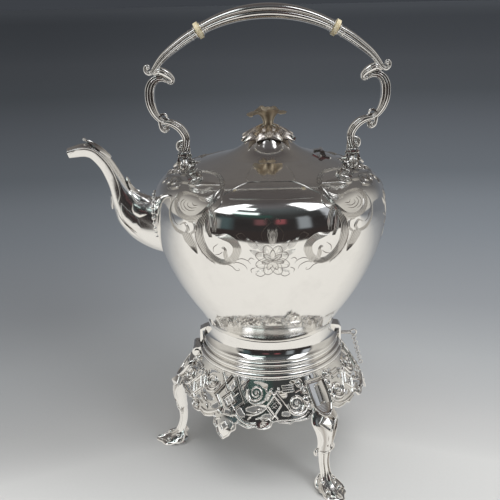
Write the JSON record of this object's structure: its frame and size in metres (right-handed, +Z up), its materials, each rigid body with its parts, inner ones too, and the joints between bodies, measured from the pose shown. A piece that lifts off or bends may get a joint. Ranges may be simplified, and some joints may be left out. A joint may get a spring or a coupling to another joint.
{
  "type": "spirit kettle on stand",
  "caption": "Silver kettle with spout, hinged domed lid and upright swing handle, tilting on a pierced stand on legs that holds a spirit burner.",
  "frame": {"origin": "in the middle of the whole length and width, on the floor the legs stand on; the kettle's vertical axis stands 33.7 mm along +X", "axes": "+Z up; -X points from the kettle's axis out along the spout; the handle swings about an axis along X"},
  "size_m": [0.2724, 0.2, 0.4036],
  "materials": {
    "silver": "polished silver plate, chased",
    "gilt": "worn gilding on cast metal",
    "ivory": "polished ivory-coloured insulating discs",
    "brass": "satin turned brass",
    "cotton": "braided cotton wick"
  },
  "bodies": {
    "stand": {"stand_ring": "silver", "apron": "silver", "leg_left": "silver", "leg_front_right": "silver", "leg_rear_right": "silver", "tilt_bracket": "silver", "tilt_pin": "silver", "burner_hoop": "silver", "burner_struts": "silver"},
    "kettle": {"kettle_body": "silver", "base_ring": "silver", "mouth_collar": "silver", "spout": "silver", "spout_flange": "silver", "lid_hinge_plate": "silver", "lid_hinge_pin": "silver", "handle_mount_left": "silver", "handle_mount_right": "silver", "handle_pin_left": "silver", "handle_pin_right": "silver", "tilt_lug": "silver", "lock_lug": "silver"},
    "lid": {"lid": "silver", "lid_bezel": "silver", "lid_hinge_knuckle": "silver", "finial_leaves": "gilt", "finial_flower": "gilt", "finial_stud": "gilt", "finial_nut": "silver"},
    "handle": {"handle_grip": "silver", "insulator_left": "ivory", "insulator_right": "ivory", "insulator_pins": "silver", "handle_arm_left": "silver", "handle_arm_right": "silver"},
    "lock_pin": {"lock_pin": "silver", "lock_chain": "silver"},
    "burner": {"burner_reservoir": "silver", "burner_collar": "brass", "wick_holder": "brass", "wick": "cotton"}
  },
  "joints": [
    {"name": "kettle_tilt", "type": "hinge", "parent": "stand", "child": "kettle", "pos_m": [-0.0349, 0, 0.101], "axis": [0, -1, 0], "range_deg": [0, 40]},
    {"name": "lid_hinge", "type": "hinge", "parent": "kettle", "child": "lid", "pos_m": [0.0787, 0, 0.28405], "axis": [0, 1, 0], "range_deg": [0, 75]},
    {"name": "handle_swing", "type": "hinge", "parent": "kettle", "child": "handle", "pos_m": [0.0337, 0, 0.28305], "axis": [1, 0, 0], "range_deg": [-90, 90]},
    {"name": "lock_pin_slide", "type": "slide", "parent": "stand", "child": "lock_pin", "axis": [1, 0, 0], "range_m": [0, 0.012]},
    {"name": "burner_lift", "type": "slide", "parent": "stand", "child": "burner", "axis": [0, 0, 1], "range_m": [0, 0.012]}
  ]
}
